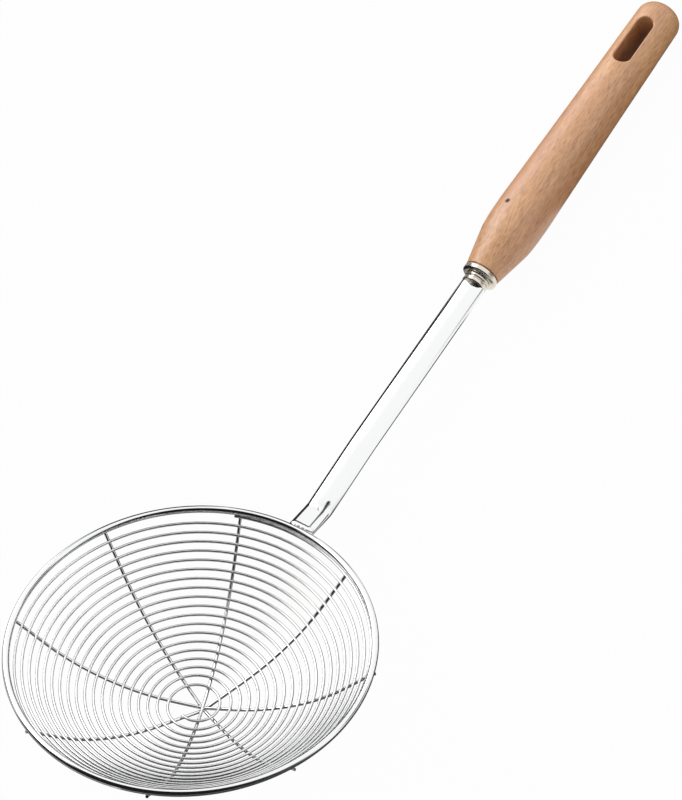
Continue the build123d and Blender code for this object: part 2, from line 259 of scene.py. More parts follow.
class SkimmerShaft(PropertyGroup):
    """Sizes of the shaft, the neck and the ferrule."""

    width: length("Width", 0.0116, "Width of the flat oval tube")
    thickness: length("Thickness", 0.005, "Thickness of the flat oval tube")
    edge_radius: length("Edge radius", 0.0023, "Radius of the tube's two edges")
    pinch_width: length("Pinched width", 0.0118, "Width of the tube where it is pinched")
    pinch_thickness: length("Pinched thickness", 0.0028, "Thickness where it is pinched")
    pinch_reach: length("Pinch reach", 0.023, "Length over which the pinch runs out")
    crease_reach: length("Crease reach", 0.0172, "Length of the crease along the pinch")
    crease_depth: length("Crease depth", 0.00022, "Depth of the crease at its round end")
    flange_diameter: length("Flange diameter", 0.016, "Width of the ferrule's flange")
    neck_diameter: length("Neck diameter", 0.0112, "Width of the collar's front ring")


class SkimmerFinish(PropertyGroup):
    """Colours and finishes."""

    steel: colour("Steel", (0.93, 0.935, 0.94), "Polished stainless steel")
    drawn: colour("Drawn steel", (0.87, 0.875, 0.88), "Drawn wire of the spiral")
    nickel: colour("Nickel", (0.80, 0.74, 0.65), "Warm polished nickel plate")
    wood_pale: colour("Pale wood", (0.78, 0.405, 0.17), "Palest beech between the grain lines")
    wood_warm: colour("Warm wood", (0.44, 0.19, 0.066), "Warm beech in the grain lines")
    wood_rosy: colour("Rosy wood", (0.56, 0.235, 0.11), "Reddish patches of the beech")
    wood_fleck: colour("Flecks", (0.36, 0.14, 0.055), "Short dark flecks along the grain")
    steel_roughness: share("Steel roughness", 0.07, "Blur of the steel's reflections")
    wood_roughness: share("Wood roughness", 0.38, "Blur of the wood's sheen")


class SkimmerStage(PropertyGroup):
    """Camera and light."""

    focal_length: FloatProperty(
        name="Focal length", description="Lens of the camera in millimetres", default=135.0,
        subtype="DISTANCE_CAMERA", unit="CAMERA",
    )
    key_strength: FloatProperty(
        name="Key", description="Power of the large soft light at the left", default=20.0,
        subtype="POWER", unit="POWER",
    )
    sky_strength: FloatProperty(
        name="Fill", description="Strength of the even light all round", default=0.74, min=0.0,
    )
    floor_white: share("Floor white", 0.97, "Share of the floor that stays plain white")


def settings():
    scene = bpy.context.scene
    return scene.skimmer_basket, scene.skimmer_shaft, scene.skimmer_finish, scene.skimmer_stage


# Places

def basket_frame():
    """Place of the basket: its origin at the rim's middle, +Z square to the rim."""
    basket = settings()[0]
    low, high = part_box("rim_ring")
    half = (high - low) / 2
    tilt = atan2(half.z - basket.rim_wire / 2, half.y - basket.rim_wire / 2)
    return Matrix.Translation((low + high) / 2) @ Matrix.Rotation(-tilt, 4, "X")


def rim_radius():
    low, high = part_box("rim_ring")
    return (high.x - low.x) / 2 - settings()[0].rim_wire / 2


def eased(corners, steps=6, closed=False):
    """Points of straight runs whose corners (x, y, radius) are turned into arcs."""
    points = []
    last = len(corners) - 1
    for index, (x, y, radius) in enumerate(corners):
        here = Vector((x, y))
        if not radius or (not closed and index in (0, last)):
            points.append(here)
            continue
        before = (Vector(corners[index - 1][:2]) - here).normalized()
        after = (Vector(corners[(index + 1) % len(corners)][:2]) - here).normalized()
        half = before.angle(after) / 2
        centre = here + (before + after).normalized() * radius / sin(half)
        arm = here + before * radius / tan(half) - centre
        turn = pi - 2 * half
        if before.x * after.y - before.y * after.x > 0:
            turn = -turn
        for step in range(steps + 1):
            points.append(centre + Matrix.Rotation(turn * step / steps, 2) @ arm)
    return points


def shaft_line():
    """Side view of the shaft's centre line, as (y, z) points from the rim to the neck."""
    bend = SHAFT_START + STUB_LENGTH
    ease = (bend + LOWER_LENGTH * cos(LOWER_RISE), -STUB_DROP + LOWER_LENGTH * sin(LOWER_RISE))
    neck = (ease[0] + UPPER_LENGTH * cos(UPPER_RISE), ease[1] + UPPER_LENGTH * sin(UPPER_RISE))
    corners = [
        (SHAFT_START - SHAFT_UNDER_RIM, -STUB_DROP, 0),
        (bend, -STUB_DROP, STUB_BEND_RADIUS),
        (*ease, EASE_RADIUS),
        (*neck, 0),
    ]
    return eased(corners, steps=32)


def along_line(points, distance):
    """Point of a line at a distance along it, and the line's slope there."""
    for here, there in zip(points, points[1:]):
        run = (there - here).length
        if distance <= run or there is points[-1]:
            slope = atan2(there.y - here.y, there.x - here.x)
            return here + (there - here) * (distance / run), slope
        distance -= run


def line_length(points):
    return sum((there - here).length for here, there in zip(points, points[1:]))


def axis_frame(along):
    """Place on the handle's axis, so far beyond the shaft's end, +Z pointing along it."""
    line = shaft_line()
    end, slope = along_line(line, line_length(line))
    turn = Matrix.Rotation(slope - pi / 2, 4, "X")
    place = Matrix.Translation((0, end.x, end.y)) @ turn
    return basket_frame() @ place @ Matrix.Translation((0, 0, along))


# Modelling helpers

def start_clear():
    """Go to object mode with nothing selected."""
    if bpy.context.object and bpy.context.object.mode != "OBJECT":
        bpy.ops.object.mode_set(mode="OBJECT")
    bpy.ops.object.select_all(action="DESELECT")


def finish_piece(piece, name, nodes, material, place=None, angle=40):
    """Put a piece in its place, turn its faces outwards and let it stand for nodes."""
    start_clear()
    piece.select_set(True)
    bpy.context.view_layer.objects.active = piece
    bpy.ops.object.transform_apply(location=True, rotation=True, scale=True)
    if place:
        piece.matrix_world = place
        bpy.ops.object.transform_apply(location=True, rotation=True, scale=True)
    bpy.ops.object.mode_set(mode="EDIT")
    bpy.ops.mesh.select_all(action="SELECT")
    bpy.ops.mesh.remove_doubles(threshold=1e-6)
    bpy.ops.mesh.normals_make_consistent(inside=False)
    bpy.ops.object.mode_set(mode="OBJECT")
    bpy.ops.object.shade_smooth_by_angle(angle=radians(angle))
    piece.name = name
    piece.data.name = name
    piece.data.materials.clear()
    piece.data.materials.append(material)
    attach(piece, "root")
    if nodes:
        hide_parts(*nodes)


def node_copy(node):
    """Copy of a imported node's mesh without its normals; finish_piece joins its triangles."""
    start_clear()
    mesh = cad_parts[node].data.copy()
    piece = bpy.data.objects.new(node + "_copy", mesh)
    bpy.context.collection.objects.link(piece)
    piece.select_set(True)
    bpy.context.view_layer.objects.active = piece
    bpy.ops.mesh.customdata_custom_splitnormals_clear()
    return piece


def turned(profile, sides=96):
    """Ring raised and widened from point to point of a closed profile (radius, height)."""
    start_clear()
    radius, height = profile[0]
    bpy.ops.mesh.primitive_circle_add(vertices=sides, radius=radius, location=(0, 0, height))
    bpy.ops.object.mode_set(mode="EDIT")
    bpy.ops.mesh.select_all(action="SELECT")
    for wide, high in [*profile[1:], profile[0]]:
        bpy.ops.mesh.extrude_region_move(
            TRANSFORM_OT_translate={"value": (0, 0, high - height)})
        grow = wide / radius
        bpy.ops.transform.resize(value=(grow, grow, 1), center_override=(0, 0, high))
        radius, height = wide, high
    bpy.ops.object.mode_set(mode="OBJECT")
    return bpy.context.object


def wire_through(points, thickness, resolution=3):
    """Round wire along points, as a mesh."""
    start_clear()
    curve = bpy.data.curves.new("wire", "CURVE")
    curve.dimensions = "3D"
    curve.bevel_depth = thickness / 2
    curve.bevel_resolution = resolution
    curve.use_fill_caps = True
    spline = curve.splines.new("POLY")
    spline.points.add(len(points) - 1)
    for point, place in zip(spline.points, points):
        point.co = (*place, 1)
    piece = bpy.data.objects.new("wire", curve)
    bpy.context.collection.objects.link(piece)
    piece.select_set(True)
    bpy.context.view_layer.objects.active = piece
    bpy.ops.object.convert(target="MESH")
    return bpy.context.object


# Materials

def node(tree, kind, **values):
    """New shader node; plain keywords are its properties."""
    made = tree.nodes.new(kind)
    for key, value in values.items():
        setattr(made, key, value)
    return made


def feed(tree, value, socket):
    """Give a socket a plain value, or link it to another socket."""
    if isinstance(value, bpy.types.NodeSocket):
        tree.links.new(value, socket)
    else:
        socket.default_value = value


def maths(tree, operation, *values):
    """Result of a math node on plain numbers or other sockets."""
    made = node(tree, "ShaderNodeMath", operation=operation)
    for value, socket in zip(values, made.inputs):
        feed(tree, value, socket)
    return made.outputs[0]


def stretched_noise(tree, place, scales, detail, roughness=0.5, distortion=0.0):
    """Noise with its own scale along each of the object's axes."""
    stretch = node(tree, "ShaderNodeMapping")
    stretch.inputs["Scale"].default_value = scales
    made = node(tree, "ShaderNodeTexNoise")
    made.inputs["Scale"].default_value = 1
    made.inputs["Detail"].default_value = detail
    made.inputs["Roughness"].default_value = roughness
    made.inputs["Distortion"].default_value = distortion
    tree.links.new(place.outputs["Object"], stretch.inputs["Vector"])
    tree.links.new(stretch.outputs["Vector"], made.inputs["Vector"])
    return made.outputs["Fac"]


def share_between(tree, value, low, high, most=1.0):
    """Share that goes from 0 at low to most at high and stays so beyond them."""
    made = node(tree, "ShaderNodeMapRange")
    made.inputs["From Min"].default_value = low
    made.inputs["From Max"].default_value = high
    made.inputs["To Max"].default_value = most
    tree.links.new(value, made.inputs["Value"])
    return made.outputs["Result"]


def distance_from(tree, place, point):
    """Distance of the surface from a point, in the object's coordinates."""
    made = node(tree, "ShaderNodeVectorMath", operation="DISTANCE")
    tree.links.new(place.outputs["Object"], made.inputs[0])
    feed(tree, point, made.inputs[1])
    return made.outputs["Value"]


def tinted(tree, part, below, above):
    """Colour mixed from one to another, by a share."""
    made = node(tree, "ShaderNodeMix", data_type="RGBA")
    tree.links.new(part, made.inputs["Factor"])
    feed(tree, below, made.inputs["A"])
    feed(tree, above, made.inputs["B"])
    return made.outputs["Result"]


def new_material(name):
    """New material, its node tree and its shader."""
    made = bpy.data.materials.new(name)
    made.use_nodes = True
    return made, made.node_tree, made.node_tree.nodes["Principled BSDF"]


def raise_surface(tree, shader, height, strength):
    """Bump on a shader, from a height of 0 to 1."""
    bump = node(tree, "ShaderNodeBump")
    bump.inputs["Strength"].default_value = strength
    bump.inputs["Distance"].default_value = BUMP_HEIGHT
    tree.links.new(height, bump.inputs["Height"])
    tree.links.new(bump.outputs["Normal"], shader.inputs["Normal"])


def polish_group():
    """Node group of a hand-polished metal: slight blur and height that change over it."""
    group = bpy.data.node_groups.get("polish marks")
    if group:
        return group
    group = bpy.data.node_groups.new("polish marks", "ShaderNodeTree")
    sides = group.interface
    sides.new_socket("Roughness", in_out="INPUT", socket_type="NodeSocketFloat")
    sides.new_socket("Streaks", in_out="INPUT", socket_type="NodeSocketFloat")
    sides.new_socket("Roughness", in_out="OUTPUT", socket_type="NodeSocketFloat")
    sides.new_socket("Height", in_out="OUTPUT", socket_type="NodeSocketFloat")
    enter, leave = node(group, "NodeGroupInput"), node(group, "NodeGroupOutput")
    amount = enter.outputs["Streaks"]
    place = node(group, "ShaderNodeTexCoord")
    streaks = stretched_noise(group, place, STREAK_SCALES, detail=3)
    clouds = node(group, "ShaderNodeTexNoise")
    clouds.inputs["Scale"].default_value = CLOUD_SCALE
    group.links.new(place.outputs["Object"], clouds.inputs["Vector"])
    streaked = maths(group, "MULTIPLY_ADD", streaks, amount, enter.outputs["Roughness"])
    clouded = maths(group, "MULTIPLY_ADD", clouds.outputs["Fac"], amount, streaked)
    group.links.new(clouded, leave.inputs["Roughness"])
    group.links.new(streaks, leave.inputs["Height"])
    return group


def metal(name, tint, roughness, streaks):
    """Polished metal with faint streaks, made once for each name."""
    made = bpy.data.materials.get(name)
    if made:
        return made
    made, tree, shader = new_material(name)
    shader.inputs["Base Color"].default_value = (*tint, 1)
    shader.inputs["Metallic"].default_value = 1
    marks = node(tree, "ShaderNodeGroup", node_tree=polish_group())
    marks.inputs["Roughness"].default_value = roughness
    marks.inputs["Streaks"].default_value = streaks
    tree.links.new(marks.outputs["Roughness"], shader.inputs["Roughness"])
    raise_surface(tree, shader, marks.outputs["Height"], strength=streaks / 2)
    return made


def steel():
    finish = settings()[2]
    return metal("polished steel", finish.steel, finish.steel_roughness, STEEL_STREAKS)


def drawn_steel():
    """Steel of the spiral's drawn wire, less polished than the rim."""
    finish = settings()[2]
    roughness = finish.steel_roughness + DRAWN_EXTRA_BLUR
    return metal("drawn steel", finish.drawn, roughness, STEEL_STREAKS)


def steel_with_painted_crease_shade():
    """Polished steel that is duller where the mesh's crease mark says so, and darkened there
    with painted shade.
    """
    finish = settings()[2]
    made = metal("creased steel with painted shade", finish.steel, finish.steel_roughness, STEEL_STREAKS)
    tree = made.node_tree
    shader = tree.nodes["Principled BSDF"]
    blur = shader.inputs["Roughness"]
    painted_shade_and_dull = node(tree, "ShaderNodeAttribute", attribute_name="crease").outputs["Fac"]
    # Painted shade: the base colour turns grey in the crease and the dimple, as far as their
    # mark reaches
    tint = tinted(tree, painted_shade_and_dull, (*finish.steel, 1), PAINTED_SHADE_GREY)
    tree.links.new(tint, shader.inputs["Base Color"])
    dull = maths(tree, "MULTIPLY_ADD", painted_shade_and_dull, MARK_BLUR, blur.links[0].from_socket)
    tree.links.new(dull, blur)
    return made


def nickel():
    finish = settings()[2]
    roughness = finish.steel_roughness + NICKEL_EXTRA_BLUR
    return metal("warm nickel", finish.nickel, roughness, NICKEL_STREAKS)


def beside_slot(tree, place):
    """Distance, seen from above, from the middle line of the hanging slot."""
    parts = node(tree, "ShaderNodeSeparateXYZ")
    held = node(tree, "ShaderNodeClamp")
    held.inputs["Min"].default_value = SLOT_NEAR
    held.inputs["Max"].default_value = SLOT_FAR
    nearest = node(tree, "ShaderNodeCombineXYZ")
    tree.links.new(place.outputs["Object"], parts.inputs["Vector"])
    tree.links.new(parts.outputs["Y"], held.inputs["Value"])
    tree.links.new(held.outputs["Result"], nearest.inputs["Y"])
    tree.links.new(parts.outputs["Z"], nearest.inputs["Z"])
    return distance_from(tree, place, nearest.outputs["Vector"])


def beech():
    """Oiled beech: wavy grain lines, short dark flecks along the handle, one small knot and
    painted shade in the hanging slot.
    """
    finish = settings()[2]
    made, tree, shader = new_material("oiled beech")
    shader.inputs["Specular IOR Level"].default_value = 1
    shader.inputs["IOR"].default_value = 1.65
    place = node(tree, "ShaderNodeTexCoord")
    lines = stretched_noise(tree, place, LINE_SCALES, detail=5, roughness=0.62, distortion=0.4)
    broad = stretched_noise(tree, place, BROAD_SCALES, detail=2)
    pores = stretched_noise(tree, place, PORE_SCALES, detail=2)
    blush = stretched_noise(tree, place, BLUSH_SCALES, detail=1)

    tone = maths(tree, "MULTIPLY_ADD", lines, LINE_WEIGHT, broad)
    fine = maths(tree, "MULTIPLY_ADD", pores, PORE_WEIGHT, tone)
    grain = share_between(tree, fine, low=1.3, high=2.07)
    rosy = share_between(tree, blush, low=0.45, high=0.7, most=0.45)
    fleck = share_between(tree, pores, low=0.59, high=0.76, most=0.65)
    # Painted shade: the walls inside the hanging slot are darkened towards brown, deeper in
    # the slot
    painted_slot_shade = share_between(
        tree, beside_slot(tree, place), low=SLOT_SHADE_EDGE, high=SLOT_SHADE_FULL, most=0.3)
    knot_off = distance_from(tree, place, basket_frame() @ Vector(KNOT_PLACE))
    knot = share_between(tree, knot_off, low=KNOT_EDGE, high=KNOT_FULL)

    colour_here = tinted(tree, grain, (*finish.wood_pale, 1), (*finish.wood_warm, 1))
    colour_here = tinted(tree, rosy, colour_here, (*finish.wood_rosy, 1))
    colour_here = tinted(tree, fleck, colour_here, (*finish.wood_fleck, 1))
    colour_here = tinted(tree, painted_slot_shade, colour_here, SLOT_PAINTED_SHADE_BROWN)
    colour_here = tinted(tree, knot, colour_here, KNOT_BROWN)
    tree.links.new(colour_here, shader.inputs["Base Color"])

    sheen = maths(tree, "MULTIPLY_ADD", lines, LINE_BLUR, finish.wood_roughness)
    matt = maths(tree, "MULTIPLY_ADD", knot, KNOT_BLUR, sheen)
    tree.links.new(matt, shader.inputs["Roughness"])
    raise_surface(tree, shader, lines, strength=0.25)
    return made


# Pieces

class SKIMMER_OT_rim(Operator):
    """Make the thick ring round the basket"""

    bl_idname = "skimmer.rim"
    bl_label = "Rim ring"

    def execute(self, context):
        basket = settings()[0]
        start_clear()
        bpy.ops.mesh.primitive_torus_add(
            major_segments=240, minor_segments=24, major_radius=rim_radius(),
            minor_radius=basket.rim_wire / 2,
        )
        finish_piece(context.object, "rim", ["rim_ring"], steel(),
                     basket_frame())
        return {"FINISHED"}


def bowl_arc(ring, offset):
    """Arc radius, arc centre height and wall angle of the bowl, moved inwards by offset."""
    basket = settings()[0]
    contact = (basket.rim_wire + basket.cross_wire) / 2 + WELD_GAP
    reach = ring + contact * sin(TIP_ANGLE) - TIP_LEAD * cos(TIP_ANGLE)
    height = -contact * cos(TIP_ANGLE) - TIP_LEAD * sin(TIP_ANGLE)
    wall = basket.wall_angle
    radius = (tan(wall) * reach - height - basket.bowl_depth) / (1 / cos(wall) - 1)
    return radius - offset, radius - basket.bowl_depth, wall


def on_bowl(arc, reach):
    """Radius and height of the bowl at a reach along it from its middle."""
    radius, centre, wall = arc
    turn = min(reach / radius, wall)
    beyond = reach - turn * radius
    out = radius * sin(turn) + beyond * cos(turn)
    up = centre - radius * cos(turn) + beyond * sin(turn)
    return out, up


def outer_reach(arc, ring):
    """Reach at which the spiral's wire comes against the rim ring."""
    basket = settings()[0]
    radius, _, wall = arc
    touch = (basket.rim_wire + basket.spiral_wire) / 2 + WELD_GAP
    out, up = on_bowl(arc, radius * wall)
    to_out, to_up = ring - out, -up
    along = to_out * cos(wall) + to_up * sin(wall)
    aside = to_up * cos(wall) - to_out * sin(wall)
    return radius * wall + along - sqrt(touch**2 - aside**2)


class SKIMMER_OT_spiral(Operator):
    """Wind the basket's thin wire over the bowl"""

    bl_idname = "skimmer.spiral"
    bl_label = "Spiral wire"

    def execute(self, context):
        basket = settings()[0]
        ring = rim_radius()
        arc = bowl_arc(ring, (basket.cross_wire + basket.spiral_wire) / 2 + WELD_GAP)
        pitch = (outer_reach(arc, ring) - basket.start_reach) / basket.turns
        count = ceil(basket.turns * basket.points_per_turn)
        points = []
        for step in range(count + 1):
            turns = basket.turns * step / count
            tucked = max(0, 1 - turns / SPIRAL_TUCK_TURNS)
            reach = basket.start_reach + pitch * turns - SPIRAL_TUCK * tucked**2
            out, up = on_bowl(arc, reach)
            azimuth = basket.start_azimuth + 2 * pi * turns
            points.append(Vector((-sin(azimuth) * out, cos(azimuth) * out, up)))
        wire = wire_through(points, basket.spiral_wire)
        finish_piece(wire, "spiral", ["spiral_wire"], drawn_steel(),
                     basket_frame(), angle=60)
        return {"FINISHED"}


class SKIMMER_OT_cross_wires(Operator):
    """Carry the crossed wires over, smoothed and polished, their tips a little shorter"""

    bl_idname = "skimmer.cross_wires"
    bl_label = "Cross wires"

    def execute(self, context):
        place = basket_frame()
        back = place.inverted()
        edge = rim_radius() + TIP_START_PAST_RIM
        for layer in range(1, 5):
            wire = node_copy(f"cross_wire_{layer}")
            for point in wire.data.vertices:
                here = back @ point.co
                out = Vector((here.x, here.y, 0))
                if out.length > edge:
                    pull = out.normalized() * cos(TIP_ANGLE) + Vector((0, 0, sin(TIP_ANGLE)))
                    point.co = place @ (here - TIP_CUT * pull)
            finish_piece(wire, f"cross_wire_polished_{layer}", [f"cross_wire_{layer}"],
                         steel(), angle=50)
        return {"FINISHED"}


def flat_oval(width, thickness, edge, crown_steps=32, edge_steps=16):
    """Points of the tube's section (x, z): two crowned faces that run into round edges."""
    aside = width / 2 - edge
    crown = (aside**2 + thickness**2 / 4 - edge**2) / (thickness - 2 * edge)
    lean = atan2(aside, crown - thickness / 2)
    points = []
    for side in (1, -1):
        for step in range(crown_steps + 1):
            turn = -lean + 2 * lean * step / crown_steps
            points.append((side * crown * sin(turn),
                           side * (crown * cos(turn) - crown + thickness / 2)))
        for step in range(1, edge_steps):
            turn = pi / 2 - lean - (pi - 2 * lean) * step / edge_steps
            points.append((side * (aside + edge * cos(turn)), side * edge * sin(turn)))
    return points


class SKIMMER_OT_shaft(Operator):
    """Draw the flat tube out from the rim to the neck, pinched and creased at the rim"""

    bl_idname = "skimmer.shaft"
    bl_label = "Shaft"

    def execute(self, context):
        shaft = settings()[1]
        line = shaft_line()
        total = line_length(line)
        section = flat_oval(shaft.width, shaft.thickness, shaft.edge_radius)
        start_clear()
        bpy.ops.mesh.primitive_circle_add(vertices=len(section), radius=shaft.width / 2)
        piece = context.object
        for point, (x, z) in zip(piece.data.vertices, section):
            point.co = (x, 0, z)
        stations = [step * CLOSE_STEP for step in range(CLOSE_STEPS)]
        far = stations[-1]
        stations += [
            far + (total - far) * step / FAR_STEPS for step in range(1, FAR_STEPS + 1)]
        bpy.ops.object.mode_set(mode="EDIT")
        bpy.ops.mesh.select_all(action="SELECT")
        wide, thick, slope, here = shaft.width, shaft.thickness, 0, Vector((0, 0))
        for number, station in enumerate(stations):
            share_out = min(1, station / shaft.pinch_reach)
            blend = share_out * share_out * (3 - 2 * share_out)
            new_wide = shaft.pinch_width + (shaft.width - shaft.pinch_width) * blend
            new_thick = shaft.pinch_thickness
            new_thick += (shaft.thickness - shaft.pinch_thickness) * blend
            there, new_slope = along_line(line, station)
            if number:
                bpy.ops.mesh.extrude_region_move()
            middle = (0, here.x, here.y)
            bpy.ops.transform.rotate(value=slope, orient_axis="X", center_override=middle)
            bpy.ops.transform.resize(
                value=(new_wide / wide, 1, new_thick / thick), center_override=middle)
            bpy.ops.transform.rotate(
                value=-new_slope, orient_axis="X", center_override=middle)
            bpy.ops.transform.translate(value=(0, there.x - here.x, there.y - here.y))
            wide, thick, slope, here = new_wide, new_thick, new_slope, there
        bpy.ops.mesh.edge_face_add()
        bpy.ops.mesh.select_all(action="DESELECT")
        bpy.ops.object.mode_set(mode="OBJECT")
        press_crease(piece, line)
        finish_piece(piece, "shaft", ["shaft_tube"], steel_with_painted_crease_shade(),
                     basket_frame(), angle=35)
        return {"FINISHED"}


def press_crease(piece, line):
    """Press the teardrop crease and the dimple beside it, and mark where they are dulled and
    given painted shade.
    """
    shaft = settings()[1]
    reach = shaft.crease_reach
    # The mark says how much painted shade and dullness each point of the crease and dimple
    # gets
    painted_shade_and_dull = piece.data.attributes.new(name="crease", type="FLOAT", domain="POINT")
    for point in piece.data.vertices:
        along = point.co.y - line[0].x
        if not CREASE_START < along < reach + CREASE_ROUND_END:
            continue
        if point.co.z < along_line(line, along)[0].y:
            continue
        # The crease is a teardrop that widens and deepens up to its round end
        share_out = min(1, along / reach)
        half = CREASE_TAIL_HALF_WIDTH + CREASE_WIDENING * share_out ** 3
        ahead = max(0, along - reach) / CREASE_ROUND_END
        off = hypot((point.co.x - CREASE_ASIDE) / half, ahead)
        if off < 1:
            point.co.z -= shaft.crease_depth * share_out * (1 - off * off) ** 2
            painted_shade_and_dull.data[point.index].value = min(1, CREASE_SHADE_AND_DULL * (1 - off * off))
        off = hypot(point.co.x - DIMPLE_ASIDE, along - DIMPLE_ALONG) / DIMPLE_RADIUS
        if off < 1:
            point.co.z -= DIMPLE_DEPTH * (1 - off * off) ** 2
            painted_shade_and_dull.data[point.index].value = DIMPLE_SHADE_AND_DULL * (1 - off * off) ** 2


class SKIMMER_OT_weld(Operator):
    """Lay the rippled weld bead between the rim and the shaft"""

    bl_idname = "skimmer.weld"
    bl_label = "Weld bead"

    def execute(self, context):
        start_clear()
        bpy.ops.mesh.primitive_uv_sphere_add(
            segments=96, ring_count=32, radius=1, rotation=(0, pi / 2, 0))
        piece = context.object
        bpy.ops.object.transform_apply(location=True, rotation=True, scale=True)
        for point in piece.data.vertices:
            x, y, z = point.co
            ripple = 1 + BEAD_RIPPLE * sin(BEAD_RIPPLE_RATE * x) * (1 - x * x)
            # Fuller than a ball, so the bead stays thick almost to its ends
            full = ripple * sqrt(1 + x * x + x**4)
            point.co = (
                BEAD_ASIDE + BEAD_HALF_WIDTH * x,
                BEAD_FORWARD + BEAD_HALF_LENGTH * y * full,
                BEAD_HALF_HEIGHT * z * full,
            )
        finish_piece(piece, "weld_bead", [], steel(), basket_frame())
        return {"FINISHED"}


class SKIMMER_OT_neck(Operator):
    """Turn the collar of two rings behind the shaft"""

    bl_idname = "skimmer.neck"
    bl_label = "Neck collar"

    def execute(self, context):
        front = settings()[1].neck_diameter / 2
        profile = eased([
            (TANG_BORE_RADIUS, 0, 0),
            (front, 0, TURNED_EDGE),
            (front, NECK_FRONT_LENGTH, TURNED_EDGE),
            (NECK_GROOVE_RADIUS, NECK_FRONT_LENGTH, INNER_EDGE),
            (NECK_GROOVE_RADIUS, NECK_GROOVE_END, INNER_EDGE),
            (NECK_BACK_RADIUS, NECK_GROOVE_END, TURNED_EDGE),
            (NECK_BACK_RADIUS, NECK_LENGTH, TURNED_EDGE),
            (TANG_BORE_RADIUS, NECK_LENGTH, 0),
        ], steps=5)
        piece = turned(profile)
        finish_piece(piece, "neck", ["neck_collar"], nickel(), axis_frame(0),
                     angle=35)
        return {"FINISHED"}


class SKIMMER_OT_ferrule(Operator):
    """Turn the flanged cap that closes the wood's end"""

    bl_idname = "skimmer.ferrule"
    bl_label = "Ferrule"

    def execute(self, context):
        flange = settings()[1].flange_diameter / 2
        profile = eased([
            (TANG_BORE_RADIUS, 0, 0),
            (FLANGE_FACE_RADIUS, 0, FLANGE_FACE_EDGE),
            (flange, FLANGE_SLOPE_LENGTH, FLANGE_FRONT_EDGE),
            (flange, FLANGE_THICKNESS, FLANGE_BACK_EDGE),
            (SHOULDER_RADIUS, FLANGE_THICKNESS, INNER_EDGE),
            (SHOULDER_RADIUS, SHOULDER_END, 0),
            (SPIGOT_RADIUS, SHOULDER_END, 0),
            (SPIGOT_RADIUS, SPIGOT_END, TURNED_EDGE),
            (TANG_BORE_RADIUS, SPIGOT_END, 0),
        ], steps=5)
        piece = turned(profile)
        finish_piece(piece, "ferrule_cap", ["ferrule"], nickel(),
                     axis_frame(NECK_LENGTH), angle=35)
        return {"FINISHED"}


class SKIMMER_OT_tang(Operator):
    """Finish the hidden rod"""

    bl_idname = "skimmer.tang"
    bl_label = "Tang rod"

    def execute(self, context):
        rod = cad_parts["tang_rod"]
        rod.data.materials.clear()
        rod.data.materials.append(steel())
        return {"FINISHED"}


class SKIMMER_OT_handle(Operator):
    """Carry the turned handle over, smoothed, oiled and tapered straight to the ferrule"""

    bl_idname = "skimmer.handle"
    bl_label = "Wooden handle"

    def execute(self, context):
        piece = node_copy("wood_handle")
        place = axis_frame(NECK_LENGTH + SHOULDER_END)
        back = place.inverted()
        for point in piece.data.vertices:
            here = back @ point.co
            reach = hypot(here.x, here.y)
            most = TAPER_START_RADIUS + TAPER_SLOPE * here.z
            if reach > most:
                grow = most / reach
                point.co = place @ Vector((here.x * grow, here.y * grow, here.z))
        finish_piece(piece, "beech_handle", ["wood_handle"], beech(), angle=30)
        return {"FINISHED"}


# Stage

def any_ray(tree, *kinds):
    """1 for a ray of any of the kinds, named as the Light Path node names them."""
    seen = node(tree, "ShaderNodeLightPath")
    result = seen.outputs[kinds[0]]
    for kind in kinds[1:]:
        result = maths(tree, "MAXIMUM", result, seen.outputs[kind])
    return result


def mix_shaders(tree, part, below, above, target):
    """Mix two shaders by a share and send the result to a tree's output node."""
    mixed = node(tree, "ShaderNodeMixShader")
    tree.links.new(part, mixed.inputs["Fac"])
    tree.links.new(below.outputs[0], mixed.inputs[1])
    tree.links.new(above.outputs[0], mixed.inputs[2])
    tree.links.new(mixed.outputs["Shader"], target.inputs["Surface"])


def floor_material():
    """White floor that keeps a soft shadow."""
    made, tree, shader = new_material("white floor")
    shader.inputs["Base Color"].default_value = FLOOR_GREY
    shader.inputs["Roughness"].default_value = 0.9
    shader.inputs["Specular IOR Level"].default_value = 0
    glow = node(tree, "ShaderNodeEmission")
    glow.inputs["Strength"].default_value = 1
    direct = any_ray(tree, "Is Camera Ray", "Is Glossy Ray")
    part = maths(tree, "MULTIPLY", direct, settings()[3].floor_white)
    mix_shaders(tree, part, shader, glow, tree.nodes["Material Output"])
    return made


def light_room():
    """Even white light, plain white wherever the camera or the metal sees it."""
    world = bpy.data.worlds.new("white studio")
    bpy.context.scene.world = world
    world.use_nodes = True
    tree = world.node_tree
    fill = tree.nodes["Background"]
    fill.inputs["Color"].default_value = WHITE
    fill.inputs["Strength"].default_value = settings()[3].sky_strength
    white = node(tree, "ShaderNodeBackground")
    white.inputs["Color"].default_value = WHITE
    white.inputs["Strength"].default_value = 1
    direct = any_ray(tree, "Is Camera Ray", "Is Glossy Ray", "Is Transmission Ray")
    mix_shaders(tree, direct, fill, white, tree.nodes["World Output"])


def heading(azimuth, elevation):
    """Unit vector towards an azimuth, counted from +X, and an elevation, in degrees."""
    azimuth, elevation = radians(azimuth), radians(elevation)
    level = cos(elevation)
    return Vector((level * cos(azimuth), level * sin(azimuth), sin(elevation)))


def soft_light(name, place, size, power):
    """Large square light aimed at the origin."""
    start_clear()
    bpy.ops.object.light_add(
        type="AREA", location=place, rotation=place.to_track_quat("Z", "Y").to_euler())
    lamp = bpy.context.object
    lamp.name = name
    lamp.data.shape = "SQUARE"
    lamp.data.size = size
    lamp.data.energy = power


